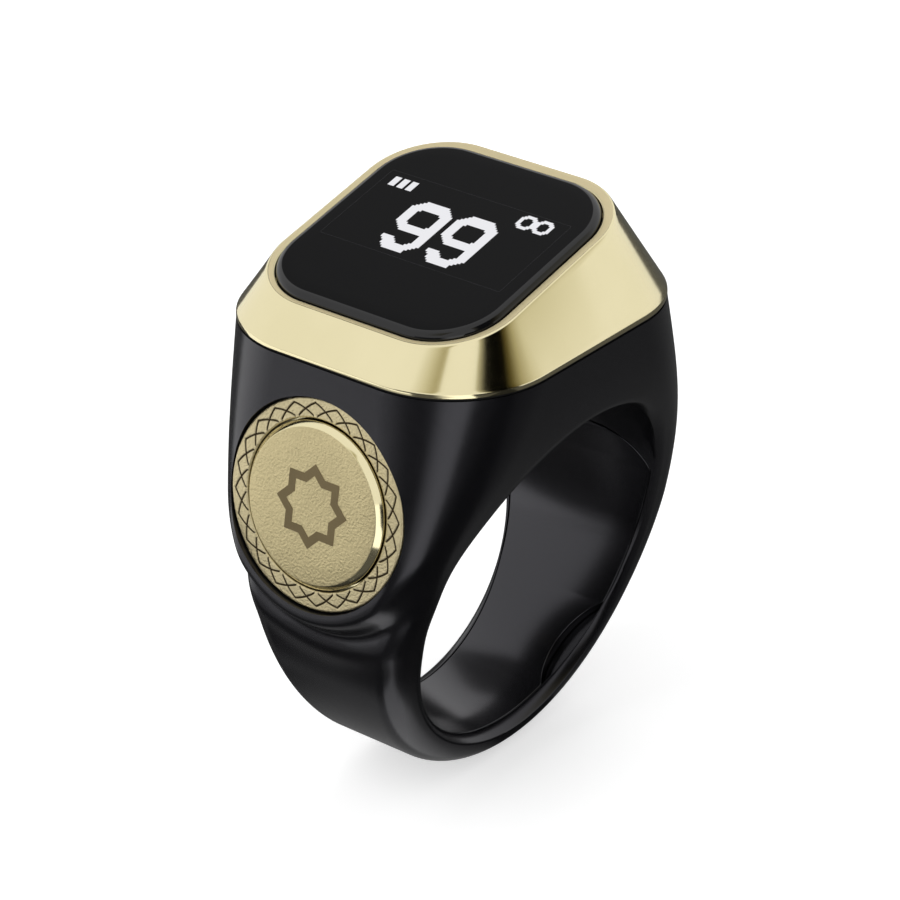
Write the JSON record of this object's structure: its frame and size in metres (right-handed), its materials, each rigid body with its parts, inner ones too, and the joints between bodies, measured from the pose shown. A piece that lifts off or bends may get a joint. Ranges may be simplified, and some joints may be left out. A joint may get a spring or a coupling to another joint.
{
  "type": "digital tasbih counter",
  "caption": "Finger-ring tally counter with a tilted display under glass, a thumb button on the side and a snap-in sizing liner in the finger bore.",
  "frame": {"origin": "centre of the finger bore", "axes": "+Y along the finger, +Z from the finger axis towards the display, the button faces -X"},
  "size_m": [0.0264, 0.0188, 0.0327],
  "materials": {
    "gloss_black": "polished gloss black",
    "satin_black": "satin black",
    "gold_polished": "polished champagne gold plating",
    "gold_satin": "sand-blasted champagne gold plating",
    "cover_glass": "black-tinted cover glass",
    "panel_black": "black display panel with lit pixels",
    "flex_amber": "amber polyimide film",
    "board_green": "green solder resist",
    "chip_black": "moulded epoxy",
    "ceramic": "fired ceramic",
    "capacitor_tan": "fired ceramic",
    "cell_foil": "embossed foil pouch",
    "black_rubber": "moulded rubber",
    "gold_contact": "hard gold plating",
    "bush_black": "moulded insulator",
    "steel": "bright steel",
    "switch_white": "moulded"
  },
  "bodies": {
    "ring": {"ring_body": "gloss_black", "sizing_liner": "satin_black", "bezel": "gold_polished", "bezel_gasket": "black_rubber", "display_glass": "cover_glass", "glass_gasket": "black_rubber", "oled_panel": "panel_black", "oled_flex": "flex_amber", "main_board": "board_green", "board_screws": "steel", "controller_chip": "chip_black", "radio_antenna": "ceramic", "board_passives": "capacitor_tan", "vibration_motor": "steel", "battery_cell": "cell_foil", "battery_pad": "black_rubber", "charge_pins": "gold_contact", "pin_bushes": "bush_black", "button_trim_ring": "gold_satin", "gland_washer": "steel", "stem_seal": "black_rubber", "switch_body": "chip_black", "switch_flex": "flex_amber", "button_spring": "steel"},
    "button": {"button_cap": "gold_satin", "button_stem": "steel"},
    "plunger": {"switch_plunger": "switch_white"}
  },
  "joints": [
    {"name": "button_press", "type": "slide", "parent": "ring", "child": "button", "axis": [0.9842, 0, -0.1771], "range_m": [0, 0.0004], "stiffness_N_per_m": 800, "springref_m": -0.0005, "deforming": ["button_spring"]},
    {"name": "plunger_press", "type": "slide", "parent": "ring", "child": "plunger", "axis": [0.9842, 0, -0.1771], "range_m": [0, 0.00048]}
  ],
  "couplings": [
    {"joint": "plunger_press", "follows": "button_press", "ratio": 1}
  ]
}
